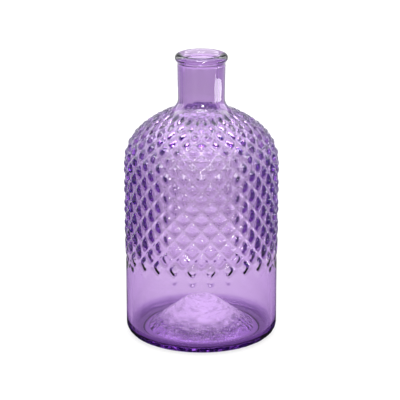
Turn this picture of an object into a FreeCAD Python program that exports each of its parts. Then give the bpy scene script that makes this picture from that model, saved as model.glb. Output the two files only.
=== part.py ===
import FreeCAD, Part
import math
import os

os.makedirs("parts", exist_ok=True)

# A round glass bottle, blown in a mould. It stands on z = 0 with its axis on Z and its front towards -Y.
# Driving dimensions, in millimetres and degrees.

bottle_height = 220.0

# Base: a rounded heel, a flat ring that the bottle stands on, a level plate inside it, and a push-up.
band_radius = 58.4
band_wall = 4.6
heel_round = 8.0
foot_width = 5.0
foot_recess = 1.0
plate_ring = 4.4
push_up_height = 25.0
push_up_tip_round = 22.0
floor_thickness = 3.4
inner_corner_round = 6.0

# Wall: the crowns of the bosses swell a little from the lowest row up, then run straight, proud of the band.
field_bottom = 58.4
band_edge_drop = 2.4
crown_proud = 1.0
swell_depth = 2.5
swell_height = 36.6

# Shoulder: a tight arc, then a flat one that runs into the neck.
shoulder_start = 135.6
shoulder_radius = 36.4
shoulder_turn = 51.15
shoulder_top_radius = 83.8

# Neck and lip: a true round bore, a slight flare outside and a round bead at the mouth.
bore_radius = 12.8
bore_edge = 0.4
neck_wall = 5.0
neck_flare = 0.5
neck_fillet = 7.4
lip_overhang = 1.8
bead_radius = 3.1

# Diamond bosses: rows half a row pitch apart, each row turned by half a boss from the one below.
bosses_round = 26
body_row_pitch = 7.9
shoulder_row_pitch = 7.1
groove_depth = 1.6
crown_share = 0.55

# Smooth glass is turned in two flats to each boss, and rounds are drawn in chords of this angle.
chord_angle = 15.0


# Sections in the XZ plane, and how they are carried round the axis

def at(radius, height):
    return FreeCAD.Vector(radius, 0, height)


def outward(tilt):
    return FreeCAD.Vector(math.cos(tilt), 0, math.sin(tilt))


def arc(centre, radius, start, end):
    """Points of a round about a centre, from one tilt to another."""
    chords = math.ceil(abs(end - start) / math.radians(chord_angle))
    tilts = [start + (end - start) * count / chords for count in range(chords + 1)]
    return [centre + outward(tilt) * radius for tilt in tilts]


def around(point, place):
    """A point of the section, carried round from the front by a number of bosses."""
    turn = FreeCAD.Rotation(FreeCAD.Vector(0, 0, 1), 360.0 * place / bosses_round - 90)
    return turn.multVec(point)


half_places = [count / 2 for count in range(2 * bosses_round)]
tiny = 1e-6


def outline(corners):
    return Part.makePolygon(corners + corners[:1])


def ring_outline(point):
    return outline([around(point, place) for place in half_places])


def sewn(faces):
    shell = Part.makeCompound(faces)
    shell.sewShape()
    return Part.makeSolid(shell.Shells[0])


def turned(section):
    """The solid of a closed section carried round the axis."""
    faces = []
    for a, b in zip(section, section[1:] + section[:1]):
        on_axis = [point.x < tiny for point in (a, b)]
        if abs(a.z - b.z) < tiny:
            rims = [ring_outline(point) for point in (a, b) if point.x > tiny]
            faces.append(Part.makeFace(rims, "Part::FaceMakerBullseye"))
        elif not all(on_axis):
            for place in half_places:
                corners = [around(a, place), around(b, place)]
                corners += [] if on_axis[1] else [around(b, place + 0.5)]
                corners += [] if on_axis[0] else [around(a, place + 0.5)]
                faces.append(Part.Face(outline(corners)))
    return sewn(faces)


# Shoulder and neck line, shared by the crowns outside and the cavity inside

handover = math.radians(shoulder_turn)
body_radius = band_radius + crown_proud
shoulder_centre = at(body_radius - shoulder_radius, shoulder_start)
top_centre = shoulder_centre + outward(handover) * (shoulder_radius - shoulder_top_radius)
cavity_radius = band_radius - band_wall
crown_wall = body_radius - cavity_radius
neck_radius = bore_radius + neck_wall
neck_top_radius = neck_radius + neck_flare


def neck_turn(radius, arc_radius, fillet):
    """Tilt at which the flat shoulder arc gives way to the fillet of a neck of this radius."""
    return math.acos((radius + fillet - top_centre.x) / (arc_radius + fillet))


collar_tilt = neck_turn(neck_radius, shoulder_top_radius, neck_fillet)
collar = top_centre + outward(collar_tilt) * shoulder_top_radius
fillet_centre = collar + outward(collar_tilt) * neck_fillet

# Cavity: one smooth hollow over the push-up, up to the bore that runs out through the neck

heel_centre = at(band_radius - heel_round, heel_round)
foot_inner = at(heel_centre.x - foot_width, 0)
recess_edge = at(foot_inner.x - foot_recess, foot_recess)
push_up_foot = recess_edge - at(plate_ring, 0)
tip_centre = at(0, push_up_height - push_up_tip_round)
to_foot = push_up_foot - tip_centre
cone_tilt = math.atan2(to_foot.z, to_foot.x) + math.acos(push_up_tip_round / to_foot.Length)

inner_tip_round = push_up_tip_round + floor_thickness
inner_dome = arc(tip_centre, inner_tip_round, math.pi / 2, cone_tilt)
floor_level = foot_recess + floor_thickness
cone_run = (inner_dome[-1].z - floor_level) * math.tan(cone_tilt)
inner_cone_foot = at(inner_dome[-1].x + cone_run, floor_level)
corner_centre = at(cavity_radius - inner_corner_round, floor_level + inner_corner_round)
push_up_top = inner_dome + [inner_cone_foot]
inner_corner = arc(corner_centre, inner_corner_round, -math.pi / 2, 0)

inner_shoulder = shoulder_radius - crown_wall
inner_top = shoulder_top_radius - crown_wall
inner_fillet = neck_fillet + neck_wall
bore_tilt = neck_turn(bore_radius - bore_edge, inner_top, inner_fillet)
inner_fillet_centre = top_centre + outward(bore_tilt) * (inner_top + inner_fillet)
shoulder_line = arc(shoulder_centre, inner_shoulder, 0, handover)[:-1]
shoulder_line += arc(top_centre, inner_top, handover, bore_tilt)[:-1]
shoulder_line += arc(inner_fillet_centre, inner_fillet, math.pi + bore_tilt, math.pi)

cavity = turned(push_up_top + inner_corner + shoulder_line + [at(0, inner_fillet_centre.z)])
bore = Part.makeCylinder(bore_radius, bottle_height - shoulder_start, at(0, shoulder_start))

# Base: the plate with its push-up, and round it the heel, up to where the inside wall runs straight

base_top = corner_centre.z
plate_edge = at(recess_edge.x, floor_level)
push_up_underside = arc(tip_centre, push_up_tip_round, cone_tilt, math.pi / 2)
push_up = turned(push_up_top + [plate_edge, recess_edge, push_up_foot] + push_up_underside)

heel_outside = [at(band_radius, base_top)] + arc(heel_centre, heel_round, 0, -math.pi / 2)
heel = turned([plate_edge] + inner_corner + heel_outside + [foot_inner, recess_edge])

# Plain band: the smooth wall between the heel and the bosses

band_top = field_bottom - band_edge_drop
band_edge = at(band_radius, band_top)
band_inside = [at(cavity_radius, band_top), at(cavity_radius, base_top)]
plain_band = turned(band_inside + [at(band_radius, base_top), band_edge])

# Crown line: the height and tilt of the boss crowns, by their length up the wall

swell_top = field_bottom + swell_height
swell_radius = (swell_height**2 + swell_depth**2) / (2 * swell_depth)
swell_angle = math.asin(swell_height / swell_radius)
swell_centre = at(body_radius - swell_radius, swell_top)
swell_end = swell_radius * swell_angle
straight_end = swell_end + shoulder_start - swell_top
shoulder_end = straight_end + shoulder_radius * handover
crown_end = shoulder_end + shoulder_top_radius * (collar_tilt - handover)


def crown(length):
    """Point and tilt of the crown line at a length up the wall."""
    if length < swell_end:
        tilt = length / swell_radius - swell_angle
        return swell_centre + outward(tilt) * swell_radius, tilt
    if length < straight_end:
        return at(body_radius, swell_top + length - swell_end), 0
    if length < shoulder_end:
        tilt = (length - straight_end) / shoulder_radius
        return shoulder_centre + outward(tilt) * shoulder_radius, tilt
    tilt = handover + (length - shoulder_end) / shoulder_top_radius
    return top_centre + outward(tilt) * shoulder_top_radius, tilt


body_levels = int(straight_end / body_row_pitch)
body_field = body_levels * body_row_pitch
shoulder_levels = round((crown_end - body_field) / shoulder_row_pitch)
fitted_pitch = (crown_end - body_field) / shoulder_levels
levels = [body_row_pitch * count for count in range(body_levels)]
levels += [body_field + fitted_pitch * count for count in range(shoulder_levels + 1)]
last_level = len(levels) - 1


# Boss skin: flat crowns with sloping flanks, which meet along the grooves

def groove(level, place):
    """Crossing of two grooves. The topmost lie on the edge of the neck fillet."""
    if level == last_level:
        return around(collar, place)
    point, tilt = crown(levels[level])
    return around(point - outward(tilt) * groove_depth, place)


def triangle(*corners):
    return Part.Face(outline(list(corners)))


def boss(level, place):
    """Crown and flanks of the boss that is centred on a level."""
    point, tilt = crown(levels[level])
    centre = around(point, place)
    up_wall = around(outward(tilt + math.pi / 2), place)
    across = around(FreeCAD.Vector(0, 1, 0), place)
    half_height = crown_share * (levels[level + 1] - levels[level - 1]) / 2
    half_width = crown_share * point.x * math.pi / bosses_round
    flat = [
        centre - up_wall * half_height,
        centre + across * half_width,
        centre + up_wall * half_height,
        centre - across * half_width,
    ]
    rim = [
        groove(level - 1, place),
        groove(level, place + 0.5),
        groove(level + 1, place),
        groove(level, place - 0.5),
    ]
    faces = [Part.Face(outline(flat))]
    for side in range(4):
        following = (side + 1) % 4
        faces.append(triangle(rim[side], rim[following], flat[following]))
        faces.append(triangle(rim[side], flat[following], flat[side]))
    return faces


def first_place(level):
    """Bosses of even levels start at the front, those of odd levels half a boss to the side."""
    return 0.0 if level % 2 == 0 else 0.5


skin = [Part.Face(ring_outline(band_edge)), Part.Face(ring_outline(collar))]
for level in range(1, last_level):
    for count in range(bosses_round):
        skin += boss(level, first_place(level) + count)

# The band's edge slopes into the lowest grooves, and small flats close the field at the neck.
top_row = last_level - 1
for count in range(bosses_round):
    low = first_place(1) + count
    high = first_place(top_row) + count
    for side in (-0.5, 0.5):
        edge = around(band_edge, low + side)
        skin.append(triangle(groove(0, low), around(band_edge, low), edge))
        skin.append(triangle(groove(0, low), edge, groove(1, low + side)))
        skin.append(triangle(around(collar, high), around(collar, high + side), groove(top_row, high + side)))

field = sewn(skin).cut(cavity)
below_shoulder = Part.makeCylinder(2 * body_radius, shoulder_start)
diamond_wall = field.common(below_shoulder)
shoulder = field.cut(below_shoulder)

# Lip: a bead round the mouth, seated on the end of the neck, that rolls over into the bore

bead_centre = at(neck_top_radius + lip_overhang - bead_radius, bottle_height - bead_radius)
seat_tilt = -math.acos((neck_top_radius - bead_centre.x) / bead_radius)
bead = arc(bead_centre, bead_radius, seat_tilt, math.pi / 2)
seat = bead[0]
mouth_round = bead_centre.x - bore_radius + bore_edge
mouth_centre = at(bead_centre.x, bottle_height - mouth_round)
mouth = arc(mouth_centre, mouth_round, math.pi / 2, math.pi)
lip = turned([at(0, seat.z)] + bead + mouth[1:] + [at(0, mouth_centre.z)]).cut(bore)

# Neck: fillet off the shoulder, then a tube that flares a little towards the lip

neck_round = arc(fillet_centre, neck_fillet, math.pi + collar_tilt, math.pi)
neck = turned([at(0, collar.z)] + neck_round + [seat, at(0, seat.z)]).cut(cavity).cut(bore)

pieces = {
    "push_up": push_up,
    "heel": heel,
    "plain_band": plain_band,
    "diamond_wall": diamond_wall,
    "shoulder": shoulder,
    "neck": neck,
    "lip": lip,
}
for name, piece in pieces.items():
    piece.Solids[0].exportStep(f"parts/{name}.step")
    print(f"{name}: {len(piece.Solids)} solid, {piece.Volume / 1000:.1f} cm3")
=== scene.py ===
import math

import bpy
import numpy as np
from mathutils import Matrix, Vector, noise


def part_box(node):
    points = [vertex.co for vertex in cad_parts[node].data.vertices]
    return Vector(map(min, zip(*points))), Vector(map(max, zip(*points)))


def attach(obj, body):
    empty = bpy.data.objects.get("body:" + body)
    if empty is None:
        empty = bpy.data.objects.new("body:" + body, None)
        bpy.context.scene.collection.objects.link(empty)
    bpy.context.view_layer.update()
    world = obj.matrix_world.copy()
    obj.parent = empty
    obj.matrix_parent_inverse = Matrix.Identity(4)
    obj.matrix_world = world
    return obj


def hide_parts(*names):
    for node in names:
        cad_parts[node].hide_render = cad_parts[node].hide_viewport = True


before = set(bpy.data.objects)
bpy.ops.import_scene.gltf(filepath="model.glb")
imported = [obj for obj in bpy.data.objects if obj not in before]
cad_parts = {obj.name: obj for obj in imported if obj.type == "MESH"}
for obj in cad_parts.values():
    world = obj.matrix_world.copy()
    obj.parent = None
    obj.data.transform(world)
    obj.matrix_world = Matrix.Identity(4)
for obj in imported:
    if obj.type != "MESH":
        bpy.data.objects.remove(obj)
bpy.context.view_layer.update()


# Heel and push-up
# The bottle stands on a flat ring of glass inside a rounded heel. The middle of the base is pushed up into
# a blunt cone by the mould's base plate, which chills the glass and leaves its skin wrinkled.
# Sizes are in millimetres, and each outline is turned round the axis into rings of points.

MM = 0.001
BOSSES_ROUND = 26
COLUMNS = 16 * BOSSES_ROUND
HEEL_ROUND = 8.0
FOOT_WIDTH = 5.0
FOOT_RECESS = 1.0
PUSH_UP_RADIUS = 40.0
PUSH_UP_HEIGHT = 25.0
PUSH_UP_TIP_ROUND = 22.0
WRINKLE_LENGTH = 4.0
WRINKLE_HEIGHT = 0.45
WRINKLE_SIZES = 3
WRINKLE_START = 0.5
WRINKLE_FADE = 0.9
WRINKLE_SHRINK = 2.0
PLATE_MARK_RADIUS = 33.0
PLATE_MARK_WIDTH = 0.6
PLATE_MARK_HEIGHT = 0.35

turn = np.arange(COLUMNS) / COLUMNS * 2 * math.pi
band_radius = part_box("plain_band")[1].x / MM


def line(start, end, steps):
    """Points of a straight run of an outline, without its last one."""
    share = np.arange(steps)[:, None] / steps
    return np.array(start) + share * (np.array(end) - np.array(start))


def arc(centre, radius, start, end, steps):
    """Points of a round of an outline, without its last one; tilts are in radians above level."""
    tilt = start + np.arange(steps) / steps * (end - start)
    return np.array(centre) + radius * np.stack([np.cos(tilt), np.sin(tilt)], axis=1)


def rings(outline, proud=0.0, tilt=0.0):
    """A ring of points for each point of an outline, moved by proud along a line tilted above level."""
    radius = outline[:, :1] + proud * np.cos(tilt) + np.zeros(COLUMNS)
    height = outline[:, 1:] + proud * np.sin(tilt) + np.zeros(COLUMNS)
    return np.stack([radius * np.sin(turn), -radius * np.cos(turn), height], axis=2)


def wrinkle(spot, sizes):
    """Height of a wrinkled skin at a spot, with this many sizes of wrinkle, each smaller than the last."""
    return noise.fractal(Vector(spot), WRINKLE_FADE, WRINKLE_SHRINK, sizes)


heel_centre = (band_radius - HEEL_ROUND, HEEL_ROUND)
foot_inner = band_radius - HEEL_ROUND - FOOT_WIDTH
tip_centre = (0.0, PUSH_UP_HEIGHT - PUSH_UP_TIP_ROUND)
foot_fall = FOOT_RECESS - tip_centre[1]
cone_tilt = math.atan2(foot_fall, PUSH_UP_RADIUS)
cone_tilt += math.acos(PUSH_UP_TIP_ROUND / math.hypot(foot_fall, PUSH_UP_RADIUS))
cone_height = tip_centre[1] + PUSH_UP_TIP_ROUND * math.sin(cone_tilt)
cone_top = (PUSH_UP_TIP_ROUND * math.cos(cone_tilt), cone_height)
underside = np.concatenate([
    arc(tip_centre, PUSH_UP_TIP_ROUND, math.pi / 2, cone_tilt, 8)[1:],
    line(cone_top, (PUSH_UP_RADIUS, FOOT_RECESS), 70),
    line((PUSH_UP_RADIUS, FOOT_RECESS), (foot_inner - FOOT_RECESS, FOOT_RECESS), 6),
    line((foot_inner - FOOT_RECESS, FOOT_RECESS), (foot_inner, 0.0), 3),
    line((foot_inner, 0.0), (heel_centre[0], 0.0), 4),
    arc(heel_centre, HEEL_ROUND, -math.pi / 2, 0.0, 14),
])
base_rings = rings(underside)
for ring in np.flatnonzero(underside[:, 1] > FOOT_RECESS + WRINKLE_START):
    for column in range(COLUMNS):
        spot = base_rings[ring, column] / WRINKLE_LENGTH
        base_rings[ring, column, 2] += WRINKLE_HEIGHT * wrinkle(spot, WRINKLE_SIZES)
    off_mark = (underside[ring, 0] - PLATE_MARK_RADIUS) / PLATE_MARK_WIDTH
    base_rings[ring, :, 2] += PLATE_MARK_HEIGHT * math.exp(-off_mark**2)

# Plain band
# Below the bosses the wall is a smooth upright band of the same blown glass. The mould is left plain there,
# and the band runs on into the heel without an edge.

BAND_TOP = 46.0
band_rings = rings(line((band_radius, HEEL_ROUND), (band_radius, BAND_TOP), 14))

# Diamond wall and shoulder
# The mould is cut with rows of rounded diamonds, and the glass is blown into them. Each row is turned by half
# a boss from the one below, so that the grooves run round the bottle both ways, up to the foot of the neck.
# The wall swells a little out of the band, and the shoulder is a short round and a long flat one.

FIELD_BOTTOM = 58.4
BODY_RADIUS = 59.4
SWELL_DEPTH = 1.0
SWELL_TOP = 95.0
SHOULDER_START = 135.6
SHOULDER_RADIUS = 36.4
SHOULDER_TURN = math.radians(51.15)
SHOULDER_TOP_RADIUS = 83.8
NECK_RADIUS = 17.8
NECK_FILLET = 10.0
BODY_ROW_PITCH = 7.9
SHOULDER_ROW_PITCH = 7.1
FIELD_PAST_CROWN = 3.0

swell_rise = SWELL_TOP - FIELD_BOTTOM
swell_radius = (swell_rise**2 + SWELL_DEPTH**2) / (2 * SWELL_DEPTH)
swell_angle = math.asin(swell_rise / swell_radius)
shoulder_centre = np.array([BODY_RADIUS - SHOULDER_RADIUS, SHOULDER_START])
handover = np.array([math.cos(SHOULDER_TURN), math.sin(SHOULDER_TURN)])
top_centre = shoulder_centre + handover * (SHOULDER_RADIUS - SHOULDER_TOP_RADIUS)


def neck_turn(radius, arc_radius, fillet):
    """Tilt at which the flat shoulder round gives way to the fillet of a neck of this radius."""
    return math.acos((radius + fillet - top_centre[0]) / (arc_radius + fillet))


collar_tilt = neck_turn(NECK_RADIUS, SHOULDER_TOP_RADIUS, NECK_FILLET)
collar_out = np.array([math.cos(collar_tilt), math.sin(collar_tilt)])
fillet_centre = top_centre + collar_out * (SHOULDER_TOP_RADIUS + NECK_FILLET)
swell_end = swell_radius * swell_angle
straight_end = swell_end + SHOULDER_START - SWELL_TOP
shoulder_end = straight_end + SHOULDER_RADIUS * SHOULDER_TURN
crown_end = shoulder_end + SHOULDER_TOP_RADIUS * (collar_tilt - SHOULDER_TURN)
fillet_end = crown_end + NECK_FILLET * collar_tilt


def crown(length):
    """Outline point and tilt of the boss crowns at a length up the wall from the lowest diamond tips."""
    if length < swell_end:
        tilt = max(length, 0.0) / swell_radius - swell_angle
        radius = swell_radius
        centre = np.array([BODY_RADIUS - swell_radius, SWELL_TOP + min(length, 0.0)])
    elif length < straight_end:
        tilt = 0.0
        radius = BODY_RADIUS
        centre = np.array([0.0, SWELL_TOP + length - swell_end])
    elif length < shoulder_end:
        tilt = (length - straight_end) / SHOULDER_RADIUS
        radius = SHOULDER_RADIUS
        centre = shoulder_centre
    elif length < crown_end:
        tilt = SHOULDER_TURN + (length - shoulder_end) / SHOULDER_TOP_RADIUS
        radius = SHOULDER_TOP_RADIUS
        centre = top_centre
    else:
        tilt = collar_tilt - (length - crown_end) / NECK_FILLET
        radius = -NECK_FILLET
        centre = fillet_centre
    return centre + radius * np.array([math.cos(tilt), math.sin(tilt)]), tilt


body_rows = int(straight_end / BODY_ROW_PITCH)
body_field = body_rows * BODY_ROW_PITCH
field_top = crown_end + FIELD_PAST_CROWN
shoulder_rows = round((field_top - body_field) / SHOULDER_ROW_PITCH)
shoulder_pitch = (field_top - body_field) / shoulder_rows
last_row = body_rows + shoulder_rows
place = turn / (2 * math.pi) * BOSSES_ROUND


def ease(value, start, end):
    """Smooth step from 0 at start to 1 at end."""
    share = np.clip((value - start) / (end - start), 0.0, 1.0)
    return share * share * (3 - 2 * share)


def diamonds(length):
    """Distances from the middle of the nearest boss across its two pairs of sides, and that boss's row."""
    on_shoulder = body_rows + (length - body_field) / shoulder_pitch
    row = np.where(length < body_field, length / BODY_ROW_PITCH, on_shoulder)
    rising = 2 * place + row[:, None]
    falling = 2 * place - row[:, None]
    across = rising - 2 * np.round(rising / 2)
    along = falling - 2 * np.round(falling / 2)
    return across, along, np.round((rising - across - falling + along) / 2)


GROOVE_DEPTH = 2.6
LOWEST_GROOVE_DEPTH = 0.6
DEEPENING_START = 6.0
DEEPENING_END = 30.0
GROOVE_SOFTNESS = 0.14
TILE_VALLEY = 0.13
TILE_FLANK = 0.40
TILE_CROWNING = 0.15
TILES_END = 10.0
DOMES_START = 32.0
FULL_CROWDING_RADIUS = 50.0
BAND_SLOPE = 0.8
FIELD_FADE = 7.0
RINGS_TO_A_ROW = 12
LOWEST_ROWS = 28.0
LOWEST_RINGS = 90


def dome(away):
    """Height of a rounded boss, from 0 in the groove to 1 on the crown."""
    soft = np.hypot(away, GROOVE_SOFTNESS) - GROOVE_SOFTNESS
    soft = soft / (math.hypot(1, GROOVE_SOFTNESS) - GROOVE_SOFTNESS)
    return 1 - (1 - soft) ** 2


def tile(away):
    """Height of a flat-topped boss with steep sides, as in the lowest rows."""
    top = 1 - TILE_CROWNING + TILE_CROWNING * dome(away)
    return ease(away, TILE_VALLEY, TILE_FLANK) * top


field_start = BAND_TOP - FIELD_BOTTOM
field_steps = round((fillet_end - LOWEST_ROWS) / BODY_ROW_PITCH * RINGS_TO_A_ROW)
field_lengths = np.concatenate([
    field_start + np.arange(LOWEST_RINGS) / LOWEST_RINGS * (LOWEST_ROWS - field_start),
    LOWEST_ROWS + np.arange(field_steps) / field_steps * (fillet_end - LOWEST_ROWS),
])
field_line = [crown(length) for length in field_lengths]
field_outline = np.array([point for point, tilt in field_line])
field_tilt = np.array([tilt for point, tilt in field_line])[:, None]
across, along, boss_row = diamonds(field_lengths)
rounded = ease(field_lengths, TILES_END, DOMES_START)[:, None]
up_rising = 1 - abs(across)
up_falling = 1 - abs(along)
boss = tile(up_rising) * tile(up_falling) * (1 - rounded)
boss = boss + dome(up_rising) * dome(up_falling) * rounded
boss = np.where((boss_row < 1) | (boss_row > last_row - 1), 0.0, boss)
crowding = np.clip(field_outline[:, 0] / FULL_CROWDING_RADIUS, 0.0, 1.0)
deepening = (GROOVE_DEPTH - LOWEST_GROOVE_DEPTH) * ease(field_lengths, DEEPENING_START, DEEPENING_END)
groove = ((LOWEST_GROOVE_DEPTH + deepening) * crowding)[:, None]
to_band = (band_radius - field_outline[:, :1]) / np.cos(field_tilt)
teeth = ease(1 - across, 0.0, BAND_SLOPE) * ease(1 + along, 0.0, BAND_SLOPE)
under_tip = ease(np.hypot(1 - across, 1 + along), 0.0, BAND_SLOPE)
in_field = 1 - np.select([boss_row < -1, boss_row == -1, boss_row == 0], [1.0, under_tip, teeth], 0.0)
out_field = ease(field_lengths, field_top - FIELD_FADE, field_top)[:, None]
groove_floor = to_band * (1 - in_field) - groove * in_field * (1 - out_field)
field_rings = rings(field_outline, groove_floor + boss * groove, field_tilt)

# Neck and lip
# The neck is a short plain tube that flares a little towards the top. The mouth is finished with a round bead
# of glass, turned over while hot and melted smooth, so it has no edge.

NECK_FLARE = 0.5
LIP_OVERHANG = 1.8
BORE_RADIUS = 12.8
BEAD_RADIUS = 3.1

bottle_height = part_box("lip")[1].z / MM
neck_top = NECK_RADIUS + NECK_FLARE
bead_centre = (neck_top + LIP_OVERHANG - BEAD_RADIUS, bottle_height - BEAD_RADIUS)
seat_tilt = -math.acos((neck_top - bead_centre[0]) / BEAD_RADIUS)
seat = (neck_top, bead_centre[1] + BEAD_RADIUS * math.sin(seat_tilt))
mouth_round = bead_centre[0] - BORE_RADIUS
mouth_centre = (bead_centre[0], bottle_height - mouth_round)
neck_rings = rings(line((NECK_RADIUS, fillet_centre[1]), seat, 12))
lip_rings = rings(np.concatenate([
    arc(bead_centre, BEAD_RADIUS, seat_tilt, math.pi / 2, 20),
    arc(mouth_centre, mouth_round, math.pi / 2, math.pi, 12),
]))

# Inside of the bottle
# No mould touches the inside. The glass stretches into each boss and leaves a soft hollow behind it, flat
# like a tray in the lowest rows and pointed above them. The bore sways a little, as drawn glass does.

BAND_WALL = 4.2
FLOOR_THICKNESS = 3.4
INNER_CORNER_ROUND = 6.0
NECK_WALL = 5.0
BORE_SWAY = 0.5
BORE_SWAY_LOBES = 2.2
BORE_SWAY_LEVEL = 3.7
BORE_RIPPLE = 0.16
BORE_RIPPLE_LOBES = 5.5
BORE_RIPPLE_LEVEL = 9.1
SWAY_BELOW_MOUTH = 4.0
SWAY_BOTTOM = 170.0
SWAY_FADE = 8.0
TRAY_HOLLOW = 2.2
TRAY_EDGE = 0.06
TRAY_FLAT = 0.80
TRAY_LAST_ROW = 0.5
POINTED_HOLLOW = 0.92
POINTED_FIRST_ROW = 3.0
HOLLOW_REACH = 0.80
HOLLOW_TIP = 0.35
HOLLOW_TOE = 0.2
HOLLOW_FULL_RADIUS = 53.0
HOLLOW_CROWDING = 2.2
BOSS_THICKENING = 1.2
THICKENING_RUN = 16.0
THINNING_RUN = 25.0
FLOOR_WRINKLE_LENGTH = 7.0
FLOOR_WRINKLE_WIDTH = 1.8
FLOOR_WRINKLE_HEIGHT = 0.30
FLOOR_WRINKLE_SIZES = 2
CHILLED_OUTER_EDGE = 44.0
CHILLED_OUTER_FULL = 36.0
CHILLED_INNER_FULL = 24.0
CHILLED_INNER_EDGE = 6.0

cavity_radius = band_radius - BAND_WALL
crown_wall = BODY_RADIUS - cavity_radius
inner_shoulder = SHOULDER_RADIUS - crown_wall
inner_top = SHOULDER_TOP_RADIUS - crown_wall
inner_fillet = NECK_FILLET + NECK_WALL
bore_tilt = neck_turn(BORE_RADIUS, inner_top, inner_fillet)
bore_out = np.array([math.cos(bore_tilt), math.sin(bore_tilt)])
inner_fillet_centre = top_centre + (inner_top + inner_fillet) * bore_out
bore_outline = np.concatenate([
    line((BORE_RADIUS, mouth_centre[1]), (BORE_RADIUS, inner_fillet_centre[1]), 12),
    arc(inner_fillet_centre, inner_fillet, math.pi, math.pi + bore_tilt, 14),
])


def uneven(lobes, level):
    """Swelling in and out round the bore, with more lobes for a larger value, from one level of a noise."""
    return np.array([noise.noise(Vector((lobes * math.cos(t), lobes * math.sin(t), level))) for t in turn])


sway = BORE_SWAY * uneven(BORE_SWAY_LOBES, BORE_SWAY_LEVEL)
ripple = BORE_RIPPLE * uneven(BORE_RIPPLE_LOBES, BORE_RIPPLE_LEVEL)
under_mouth = bottle_height - SWAY_BELOW_MOUTH - bore_outline[:, 1]
over_fillet = bore_outline[:, 1] - SWAY_BOTTOM
in_bore = ease(np.minimum(under_mouth, over_fillet), 0.0, SWAY_FADE)[:, None]
bore_rings = rings(bore_outline, in_bore * (sway + ripple))

inner_crown_end = shoulder_end + SHOULDER_TOP_RADIUS * (bore_tilt - SHOULDER_TURN)
wall_steps = round(inner_crown_end / BODY_ROW_PITCH * RINGS_TO_A_ROW)
wall_lengths = inner_crown_end * (1 - np.arange(wall_steps) / wall_steps)
wall_line = [crown(length) for length in wall_lengths]
wall_tilt = np.array([
    SHOULDER_TURN + (length - shoulder_end) / SHOULDER_TOP_RADIUS if length > shoulder_end else max(tilt, 0.0)
    for length, (point, tilt) in zip(wall_lengths, wall_line)
])[:, None]
wall_out = np.concatenate([np.cos(wall_tilt), np.sin(wall_tilt)], axis=1)
upright = np.stack([np.full(wall_steps, cavity_radius), [point[1] for point, tilt in wall_line]], axis=1)
shoulder_wall = shoulder_centre + inner_shoulder * wall_out
crown_wall_line = top_centre + inner_top * wall_out
wall_outline = np.where(wall_lengths[:, None] > straight_end, shoulder_wall, upright)
wall_outline = np.where(wall_lengths[:, None] > shoulder_end, crown_wall_line, wall_outline)
across, along, boss_row = diamonds(wall_lengths)
out = np.hypot(np.hypot(across, along), HOLLOW_TIP) - HOLLOW_TIP
pointed = np.clip(1 - out / (math.hypot(HOLLOW_REACH, HOLLOW_TIP) - HOLLOW_TIP), 0.0, 1.0)
toe = pointed**2 / (2 * HOLLOW_TOE)
pointed = np.where(pointed < HOLLOW_TOE, toe, pointed - HOLLOW_TOE / 2) / (1 - HOLLOW_TOE / 2)
tray = ease(1 - abs(across), TRAY_EDGE, TRAY_FLAT) * ease(1 - abs(along), TRAY_EDGE, TRAY_FLAT)
above_trays = ease(boss_row, TRAY_LAST_ROW, POINTED_FIRST_ROW)
hollow = TRAY_HOLLOW * tray * (1 - above_trays) + POINTED_HOLLOW * pointed * above_trays
hollow = np.where((boss_row < 1) | (boss_row > last_row - 1), 0.0, hollow)
hollow = hollow * np.clip(wall_outline[:, :1] / HOLLOW_FULL_RADIUS, 0.0, 1.0) ** HOLLOW_CROWDING
thinning = ease(wall_lengths, inner_crown_end - THINNING_RUN, inner_crown_end)
thicker = BOSS_THICKENING * ease(wall_lengths, 0.0, THICKENING_RUN) * (1 - thinning)
wall_rings = rings(wall_outline, hollow - thicker[:, None], wall_tilt)

floor_level = FOOT_RECESS + FLOOR_THICKNESS
corner_centre = (cavity_radius - INNER_CORNER_ROUND, floor_level + INNER_CORNER_ROUND)
inner_tip_round = PUSH_UP_TIP_ROUND + FLOOR_THICKNESS
inner_cone_height = tip_centre[1] + inner_tip_round * math.sin(cone_tilt)
inner_cone_top = (inner_tip_round * math.cos(cone_tilt), inner_cone_height)
inner_cone_run = (inner_cone_top[1] - floor_level) * math.tan(cone_tilt)
inner_cone_foot = (inner_cone_top[0] + inner_cone_run, floor_level)
floor_outline = np.concatenate([
    line((cavity_radius, FIELD_BOTTOM), (cavity_radius, corner_centre[1]), 30),
    arc(corner_centre, INNER_CORNER_ROUND, 0.0, -math.pi / 2, 14),
    line((corner_centre[0], floor_level), inner_cone_foot, 8),
    line(inner_cone_foot, inner_cone_top, 40),
    arc(tip_centre, inner_tip_round, cone_tilt, math.pi / 2, 20),
])
floor_rings = rings(floor_outline)
floor_radius = floor_outline[:, 0]
chilled = ease(floor_radius, CHILLED_OUTER_EDGE, CHILLED_OUTER_FULL)
chilled = chilled * ease(floor_radius, CHILLED_INNER_EDGE, CHILLED_INNER_FULL)
for ring in np.flatnonzero(chilled > 0):
    for column in range(COLUMNS):
        level_spot = floor_rings[ring, column, :2] / FLOOR_WRINKLE_LENGTH
        spot = (*level_spot, floor_radius[ring] / FLOOR_WRINKLE_WIDTH)
        lift = FLOOR_WRINKLE_HEIGHT * chilled[ring] * wrinkle(spot, FLOOR_WRINKLE_SIZES)
        floor_rings[ring, column, 2] += lift

# Glass body
# All the rings join into one closed skin, since the bottle is blown in one piece without a seam. It is
# soda-lime glass with a lilac tint all through, stands in for every node of the part, and rides with them.

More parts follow.
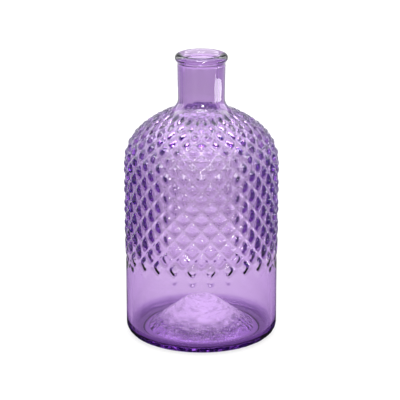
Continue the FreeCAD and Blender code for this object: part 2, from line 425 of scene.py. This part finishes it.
shell = np.concatenate([
    base_rings,
    band_rings,
    field_rings,
    neck_rings,
    lip_rings,
    bore_rings,
    wall_rings,
    floor_rings,
]) * MM
ring_count = len(shell)
points = shell.reshape(-1, 3).tolist()
points.append((0.0, 0.0, PUSH_UP_HEIGHT * MM))
points.append((0.0, 0.0, (tip_centre[1] + inner_tip_round) * MM))
under_pole = len(points) - 2
floor_pole = len(points) - 1
last = (ring_count - 1) * COLUMNS
faces = []
for column in range(COLUMNS):
    beside = (column + 1) % COLUMNS
    for low in range(0, last, COLUMNS):
        high = low + COLUMNS
        faces.append((low + column, low + beside, high + beside, high + column))
    faces.append((under_pole, beside, column))
    faces.append((floor_pole, last + column, last + beside))

bottle_mesh = bpy.data.meshes.new("bottle_glass")
bottle_mesh.from_pydata(points, [], faces)
bottle_mesh.update()
bottle_mesh.polygons.foreach_set("use_smooth", [True] * len(bottle_mesh.polygons))
bottle = bpy.data.objects.new("bottle_glass", bottle_mesh)
bpy.context.scene.collection.objects.link(bottle)


def linear(hex_colour):
    """Linear RGBA of an sRGB hex colour."""
    parts = [int(hex_colour[start:start + 2], 16) / 255 for start in (1, 3, 5)]
    return [part / 12.92 if part <= 0.04045 else ((part + 0.055) / 1.055) ** 2.4 for part in parts] + [1.0]


def add_node(tree, kind, settings=None, links=None):
    """Adds a node, sets its inputs or properties by name, and links (node, output) pairs to its inputs."""
    node = tree.nodes.new(kind)
    for name, value in (settings or {}).items():
        if isinstance(name, int) or name in node.inputs:
            node.inputs[name].default_value = value
        else:
            setattr(node, name, value)
    for name, (source, output) in (links or {}).items():
        tree.links.new(source.outputs[output], node.inputs[name])
    return node


# Purple soda-lime glass, blown and fire-polished: clear and glossy with slow waves 14 mm long, pale where it
# is thin and deep purple where light runs far inside it, so its colour is in the volume. The chilled skin of
# the push-up has a 3 mm mottle of frost. Towards the top the frost is white, a painted highlight for light
# falling from above, and lower down wrinkles break it up.

GLASS_TINT = "#bc65dd"
GLASS_DENSITY = 122.0
WAVE_LENGTH = 14.0
WAVE_HEIGHT = 0.12
GLASS_IOR = 1.5
SKIN_EDGE = 2.0
SKIN_OVER_TIP = 5.0
SKIN_OVER_TIP_FADE = 4.0
MOTTLE_SIZE = 3.0
MOTTLE_LOW = 0.35
MOTTLE_HIGH = 0.65
MOTTLE_SMOOTH = 0.05
MOTTLE_ROUGH = 0.30
# The white frost grows between these heights, a painted highlight for light falling on the top of the
# push-up.
PAINTED_TOP_LIGHT_START = 5.0
PAINTED_TOP_LIGHT_FULL = 17.0
PAINTED_TOP_LIGHT_AT_START = -1.1
PAINTED_TOP_LIGHT_AT_FULL = 0.1
WRINKLE_CONTRAST = 1.6

glass = bpy.data.materials.new("purple_soda_lime_glass")
glass.use_nodes = True
tree = glass.node_tree
tree.nodes.clear()
spot = add_node(tree, "ShaderNodeTexCoord")
wave_noise = add_node(tree, "ShaderNodeTexNoise", {
    "Scale": 1 / (WAVE_LENGTH * MM),
    "Detail": 1.0,
}, {"Vector": (spot, "Object")})
waves = add_node(tree, "ShaderNodeBump", {
    "Strength": 1.0,
    "Distance": WAVE_HEIGHT * MM,
}, {"Height": (wave_noise, "Fac")})
split = add_node(tree, "ShaderNodeSeparateXYZ", links={0: (spot, "Object")})
flat = add_node(tree, "ShaderNodeVectorMath", {
    "operation": "MULTIPLY",
    1: (1.0, 1.0, 0.0),
}, {0: (spot, "Object")})
off_axis = add_node(tree, "ShaderNodeVectorMath", {"operation": "LENGTH"}, {0: (flat, "Vector")})
in_foot = add_node(tree, "ShaderNodeMapRange", {
    "From Min": (PUSH_UP_RADIUS - SKIN_EDGE) * MM,
    "From Max": (PUSH_UP_RADIUS + SKIN_EDGE) * MM,
    "To Min": 1.0,
    "To Max": 0.0,
}, {"Value": (off_axis, "Value")})
low_down = add_node(tree, "ShaderNodeMapRange", {
    "From Min": (PUSH_UP_HEIGHT + SKIN_OVER_TIP) * MM,
    "From Max": (PUSH_UP_HEIGHT + SKIN_OVER_TIP + SKIN_OVER_TIP_FADE) * MM,
    "To Min": 1.0,
    "To Max": 0.0,
}, {"Value": (split, "Z")})
on_push_up = add_node(tree, "ShaderNodeMath", {
    "operation": "MULTIPLY",
}, {0: (in_foot, "Result"), 1: (low_down, "Result")})
mottle = add_node(tree, "ShaderNodeTexNoise", {
    "Scale": 1 / (MOTTLE_SIZE * MM),
    "Detail": 3.0,
}, {"Vector": (spot, "Object")})
frost = add_node(tree, "ShaderNodeMapRange", {
    "From Min": MOTTLE_LOW,
    "From Max": MOTTLE_HIGH,
    "To Min": MOTTLE_SMOOTH,
    "To Max": MOTTLE_ROUGH,
}, {"Value": (mottle, "Fac")})
rough = add_node(tree, "ShaderNodeMath", {
    "operation": "MULTIPLY",
}, {0: (on_push_up, "Value"), 1: (frost, "Result")})
round_push_up = add_node(tree, "ShaderNodeVectorMath", {
    "operation": "DIVIDE",
    1: (FLOOR_WRINKLE_LENGTH * MM, FLOOR_WRINKLE_LENGTH * MM, 1.0),
}, {0: (flat, "Vector")})
up_slope = add_node(tree, "ShaderNodeMath", {
    "operation": "DIVIDE",
    1: FLOOR_WRINKLE_WIDTH * MM,
}, {0: (off_axis, "Value")})
stacked = add_node(tree, "ShaderNodeCombineXYZ", links={"Z": (up_slope, "Value")})
wrinkle_place = add_node(tree, "ShaderNodeVectorMath", {
    "operation": "ADD",
}, {0: (round_push_up, "Vector"), 1: (stacked, "Vector")})
wrinkles = add_node(tree, "ShaderNodeTexNoise", {
    "Scale": 1.0,
    "Detail": 2.0,
}, {"Vector": (wrinkle_place, "Vector")})
# Painted highlight: more white frost towards the top of the push-up.
painted_top_light = add_node(tree, "ShaderNodeMapRange", {
    "From Min": PAINTED_TOP_LIGHT_START * MM,
    "From Max": PAINTED_TOP_LIGHT_FULL * MM,
    "To Min": PAINTED_TOP_LIGHT_AT_START,
    "To Max": PAINTED_TOP_LIGHT_AT_FULL,
}, {"Value": (split, "Z")})
wrinkled_frost_and_painted_top_light = add_node(tree, "ShaderNodeMath", {
    "operation": "MULTIPLY_ADD",
    "use_clamp": True,
    1: WRINKLE_CONTRAST,
}, {0: (wrinkles, "Fac"), 2: (painted_top_light, "Result")})
# White frost on the push-up: wrinkled frost, and a painted highlight towards its top.
frost_and_painted_top_light = add_node(tree, "ShaderNodeMath", {
    "operation": "MULTIPLY",
}, {0: (on_push_up, "Value"), 1: (wrinkled_frost_and_painted_top_light, "Value")})
clear = add_node(tree, "ShaderNodeMath", {
    "operation": "SUBTRACT",
    0: 1.0,
}, {1: (frost_and_painted_top_light, "Value")})
surface = add_node(tree, "ShaderNodeBsdfPrincipled", {
    "Base Color": linear("#ffffff"),
    "IOR": GLASS_IOR,
}, {"Roughness": (rough, "Value"), "Normal": (waves, "Normal"), "Transmission Weight": (clear, "Value")})
tint = add_node(tree, "ShaderNodeVolumeAbsorption", {
    "Color": linear(GLASS_TINT),
    "Density": GLASS_DENSITY,
})
add_node(tree, "ShaderNodeOutputMaterial", links={"Surface": (surface, "BSDF"), "Volume": (tint, "Volume")})
bottle_mesh.materials.append(glass)

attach(bottle, "root")
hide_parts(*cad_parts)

# Floor
# The bottle stands on a wide flat sheet of white matt paper, which keeps its soft shadow. Through the glass
# the paper shows a painted pool of light, with painted lilac shade close under the bottle in place of light
# that reaches it through purple glass. In the gloss of the glass it shows a painted reflection, dark close by
# as painted shade and white further off.

# Sizes and distances of the floor are in metres. The painted pool lists distances from the axis with the
# strength of painted light at each.

FLOOR_HALF = 3.0
PAPER_COLOUR = "#f4f4f4"
PAPER_WHITE_NEAR = 0.82
PAPER_WHITE_FAR = 1.0
PAPER_NEAR = 0.2
PAPER_FAR = 0.7
PAPER_MATT = 0.07
# Painted lilac shade close under the bottle, standing for light through purple glass, fading out between
# these two distances.
PAINTED_LILAC_SHADE_COLOUR = "#d9b6f6"
PAINTED_SHADE_REACH = 0.056
PAINTED_SHADE_END = 0.085
# Painted pool of light seen through the glass: the low strengths near the axis are painted shade under the
# bottle, and the rest is painted light falling off from the lamps.
PAINTED_POOL_REACH = 2.0
PAINTED_POOL_TOP = 2.0
PAINTED_POOL = (
    (0.0, 0.30), (0.022, 0.36), (0.032, 0.90), (0.038, 0.90), (0.047, 0.40), (0.055, 0.42), (0.075, 1.00),
    (0.12, 1.12), (0.22, 0.92), (0.32, 0.82), (0.55, 0.82), (0.75, 0.76), (0.92, 0.74), (1.25, 1.05),
    (1.6, 1.20), (2.0, 1.20),
)
# Painted reflection of the floor in the glass: painted shade close by, white further off.
PAINTED_REFLECTION_NEAR = 0.02
PAINTED_REFLECTION_FAR = 1.0
PAINTED_REFLECTION_NEAR_REACH = 0.07
PAINTED_REFLECTION_FAR_REACH = 0.50

floor_mesh = bpy.data.meshes.new("floor")
floor_mesh.from_pydata([
    (-FLOOR_HALF, -FLOOR_HALF, 0.0),
    (FLOOR_HALF, -FLOOR_HALF, 0.0),
    (FLOOR_HALF, FLOOR_HALF, 0.0),
    (-FLOOR_HALF, FLOOR_HALF, 0.0),
], [], [(0, 1, 2, 3)])
floor = bpy.data.objects.new("floor", floor_mesh)
bpy.context.scene.collection.objects.link(floor)


def glossed(tree):
    """1 for a ray that has just bounced off glass, and 0 for one that is seen directly or through it."""
    path = add_node(tree, "ShaderNodeLightPath")
    not_through = add_node(tree, "ShaderNodeMath", {
        "operation": "SUBTRACT",
        0: 1.0,
    }, {1: (path, "Is Transmission Ray")})
    return add_node(tree, "ShaderNodeMath", {
        "operation": "MULTIPLY",
    }, {0: (path, "Is Glossy Ray"), 1: (not_through, "Value")})


paper = bpy.data.materials.new("white_matt_paper_with_painted_pool")
paper.use_nodes = True
tree = paper.node_tree
tree.nodes.clear()
ground = add_node(tree, "ShaderNodeTexCoord")
away = add_node(tree, "ShaderNodeVectorMath", {"operation": "LENGTH"}, {0: (ground, "Object")})
reach_share = add_node(tree, "ShaderNodeMath", {
    "operation": "DIVIDE",
    1: PAINTED_POOL_REACH,
}, {0: (away, "Value")})
painted_pool_curve = add_node(tree, "ShaderNodeFloatCurve", links={"Value": (reach_share, "Value")})
curve_points = painted_pool_curve.mapping.curves[0].points
curve_points[0].location = (0.0, PAINTED_POOL[0][1] / PAINTED_POOL_TOP)
curve_points[1].location = (1.0, PAINTED_POOL[-1][1] / PAINTED_POOL_TOP)
for distance, strength in PAINTED_POOL[1:-1]:
    curve_points.new(distance / PAINTED_POOL_REACH, strength / PAINTED_POOL_TOP)
painted_pool_curve.mapping.update()
painted_pool_strength = add_node(tree, "ShaderNodeMath", {
    "operation": "MULTIPLY",
    1: PAINTED_POOL_TOP,
}, {0: (painted_pool_curve, "Value")})
# Painted pool of light, white beyond the bottle and painted lilac shade close under it.
painted_light_pool = add_node(tree, "ShaderNodeEmission", {
    "Color": linear("#ffffff"),
}, {"Strength": (painted_pool_strength, "Value")})
painted_lilac_shade = add_node(tree, "ShaderNodeEmission", {
    "Color": linear(PAINTED_LILAC_SHADE_COLOUR),
}, {"Strength": (painted_pool_strength, "Value")})
# Painted lilac shade gives way to the white painted pool past the bottle.
past_painted_shade = add_node(tree, "ShaderNodeMapRange", {
    "From Min": PAINTED_SHADE_REACH,
    "From Max": PAINTED_SHADE_END,
}, {"Value": (away, "Value")})
painted_pool = add_node(tree, "ShaderNodeMixShader", links={
    0: (past_painted_shade, "Result"),
    1: (painted_lilac_shade, "Emission"),
    2: (painted_light_pool, "Emission"),
})
paper_white = add_node(tree, "ShaderNodeMapRange", {
    "From Min": PAPER_NEAR,
    "From Max": PAPER_FAR,
    "To Min": PAPER_WHITE_NEAR,
    "To Max": PAPER_WHITE_FAR,
}, {"Value": (away, "Value")})
white = add_node(tree, "ShaderNodeEmission", {
    "Color": linear("#ffffff"),
}, {"Strength": (paper_white, "Result")})
matt = add_node(tree, "ShaderNodeBsdfDiffuse", {"Color": linear(PAPER_COLOUR)})
seen = add_node(tree, "ShaderNodeMixShader", {0: PAPER_MATT}, {1: (white, "Emission"), 2: (matt, "BSDF")})
# Painted reflection in the glass: painted shade close by, white further off.
painted_reflection_strength = add_node(tree, "ShaderNodeMapRange", {
    "From Min": PAINTED_REFLECTION_NEAR_REACH,
    "From Max": PAINTED_REFLECTION_FAR_REACH,
    "To Min": PAINTED_REFLECTION_NEAR,
    "To Max": PAINTED_REFLECTION_FAR,
}, {"Value": (away, "Value")})
painted_reflection = add_node(tree, "ShaderNodeEmission", {
    "Color": linear("#ffffff"),
}, {"Strength": (painted_reflection_strength, "Result")})
path = add_node(tree, "ShaderNodeLightPath")
through_glass = add_node(tree, "ShaderNodeMixShader", links={
    0: (path, "Is Transmission Ray"),
    1: (seen, "Shader"),
    2: (painted_pool, "Shader"),
})
mixed = add_node(tree, "ShaderNodeMixShader", links={
    0: (glossed(tree), "Value"),
    1: (through_glass, "Shader"),
    2: (painted_reflection, "Emission"),
})
add_node(tree, "ShaderNodeOutputMaterial", links={"Surface": (mixed, "Shader")})
floor_mesh.materials.append(paper)

# Room and lamps
# A white studio. Seen directly the room is white. Through the glass and in its gloss it is white low down and
# dims towards the ceiling, as between white walls and a dark ceiling, which draws the edges of clear glass.
# Soft flat lamps hang above, in front and at the sides.

# Each sine is of the angle above level where the dimming starts or ends.

ROOM_LOW = 1.05
ROOM_HIGH = 0.16
ROOM_LOW_SINE = 0.15
ROOM_HIGH_SINE = 0.5
GLOSS_ROOM_LOW = 1.0
GLOSS_ROOM_HIGH = 0.20
GLOSS_ROOM_LOW_SINE = 0.0
GLOSS_ROOM_HIGH_SINE = 0.45
TARGET = Vector((0.0, 0.0, 0.105))

world = bpy.data.worlds.new("white_room")
bpy.context.scene.world = world
world.use_nodes = True
tree = world.node_tree
tree.nodes.clear()
sky = add_node(tree, "ShaderNodeTexCoord")
split = add_node(tree, "ShaderNodeSeparateXYZ", links={0: (sky, "Generated")})
walls = add_node(tree, "ShaderNodeMapRange", {
    "From Min": ROOM_LOW_SINE,
    "From Max": ROOM_HIGH_SINE,
    "To Min": ROOM_LOW,
    "To Max": ROOM_HIGH,
}, {"Value": (split, "Z")})
gloss_walls = add_node(tree, "ShaderNodeMapRange", {
    "From Min": GLOSS_ROOM_LOW_SINE,
    "From Max": GLOSS_ROOM_HIGH_SINE,
    "To Min": GLOSS_ROOM_LOW,
    "To Max": GLOSS_ROOM_HIGH,
}, {"Value": (split, "Z")})
bright = add_node(tree, "ShaderNodeBackground", {"Color": linear("#ffffff"), "Strength": 1.0})
behind = add_node(tree, "ShaderNodeBackground", {
    "Color": linear("#ffffff"),
}, {"Strength": (walls, "Result")})
dim = add_node(tree, "ShaderNodeBackground", {
    "Color": linear("#ffffff"),
}, {"Strength": (gloss_walls, "Result")})
path = add_node(tree, "ShaderNodeLightPath")
through_glass = add_node(tree, "ShaderNodeMixShader", links={
    0: (path, "Is Transmission Ray"),
    1: (bright, "Background"),
    2: (behind, "Background"),
})
mixed = add_node(tree, "ShaderNodeMixShader", links={
    0: (glossed(tree), "Value"),
    1: (through_glass, "Shader"),
    2: (dim, "Background"),
})
add_node(tree, "ShaderNodeOutputWorld", links={"Surface": (mixed, "Shader")})


def soft_box(name, shape, width, length, radiance, distance, azimuth, elevation):
    """A flat lamp that faces the bottle. Azimuth 0 is in front of it, and both angles are in degrees."""
    lamp_data = bpy.data.lights.new(name, "AREA")
    lamp_data.shape = shape
    lamp_data.size = width
    lamp_data.size_y = length
    lamp_data.energy = radiance * math.pi * width * length
    lamp = bpy.data.objects.new(name, lamp_data)
    bpy.context.scene.collection.objects.link(lamp)
    turned = math.radians(azimuth)
    raised = math.radians(elevation)
    level = math.cos(raised)
    aim = Vector((math.sin(turned) * level, -math.cos(turned) * level, math.sin(raised)))
    lamp.location = TARGET + aim * distance
    lamp.rotation_mode = "QUATERNION"
    lamp.rotation_quaternion = aim.to_track_quat("Z", "Y")
    # The zenith lamp is seen through the glass and not in its gloss, and the others the other way round.
    lamp.visible_transmission = name == "zenith"
    lamp.visible_glossy = name != "zenith"


# Widths, lengths and distances are in metres, and radiance is in watts to a square metre and steradian.

soft_box("overhead", "RECTANGLE", 3.2, 3.2, 3.0, 1.3, 0.0, 90.0)
soft_box("zenith", "RECTANGLE", 2.2, 2.2, 5.8, 1.2, 0.0, 90.0)
soft_box("strip", "ELLIPSE", 0.46, 0.042, 6.0, 0.50, 88.0, -6.0)
soft_box("front_top", "RECTANGLE", 0.9, 0.6, 8.0, 1.3, 0.0, 52.0)
soft_box("left", "RECTANGLE", 1.0, 1.0, 2.5, 1.2, -118.0, 27.0)
soft_box("right", "RECTANGLE", 1.0, 1.0, 2.5, 1.2, 118.0, 27.0)
soft_box("key", "RECTANGLE", 0.28, 0.28, 36.0, 1.6, 8.0, 12.0)

# Camera
# It looks down at the bottle by 17.3 degrees from the front, with a long lens, as the outline of the heel
# ring and the mouth in the photograph gives.

# The distance is in metres, the lens and sensor are in millimetres, and the shift is a share of the frame.

CAMERA_ELEVATION = math.radians(17.3)
CAMERA_DISTANCE = 1.390
CAMERA_LENS = 162.9
CAMERA_SENSOR = 36.0
CAMERA_SHIFT = -0.0035

camera_data = bpy.data.cameras.new("camera")
camera_data.lens = CAMERA_LENS
camera_data.sensor_width = CAMERA_SENSOR
camera_data.shift_x = CAMERA_SHIFT
camera = bpy.data.objects.new("camera", camera_data)
bpy.context.scene.collection.objects.link(camera)
back = Vector((0.0, -math.cos(CAMERA_ELEVATION), math.sin(CAMERA_ELEVATION)))
camera.location = TARGET + back * CAMERA_DISTANCE
camera.rotation_mode = "QUATERNION"
camera.rotation_quaternion = (-back).to_track_quat("-Z", "Y")
bpy.context.scene.camera = camera

# Light crosses many faces of the bosses on its way through the bottle, so it may bounce often.

LIGHT_BOUNCES = 40

bpy.context.scene.view_settings.view_transform = "Standard"
bpy.context.scene.cycles.max_bounces = LIGHT_BOUNCES
bpy.context.scene.cycles.transmission_bounces = LIGHT_BOUNCES
bpy.context.scene.cycles.glossy_bounces = LIGHT_BOUNCES
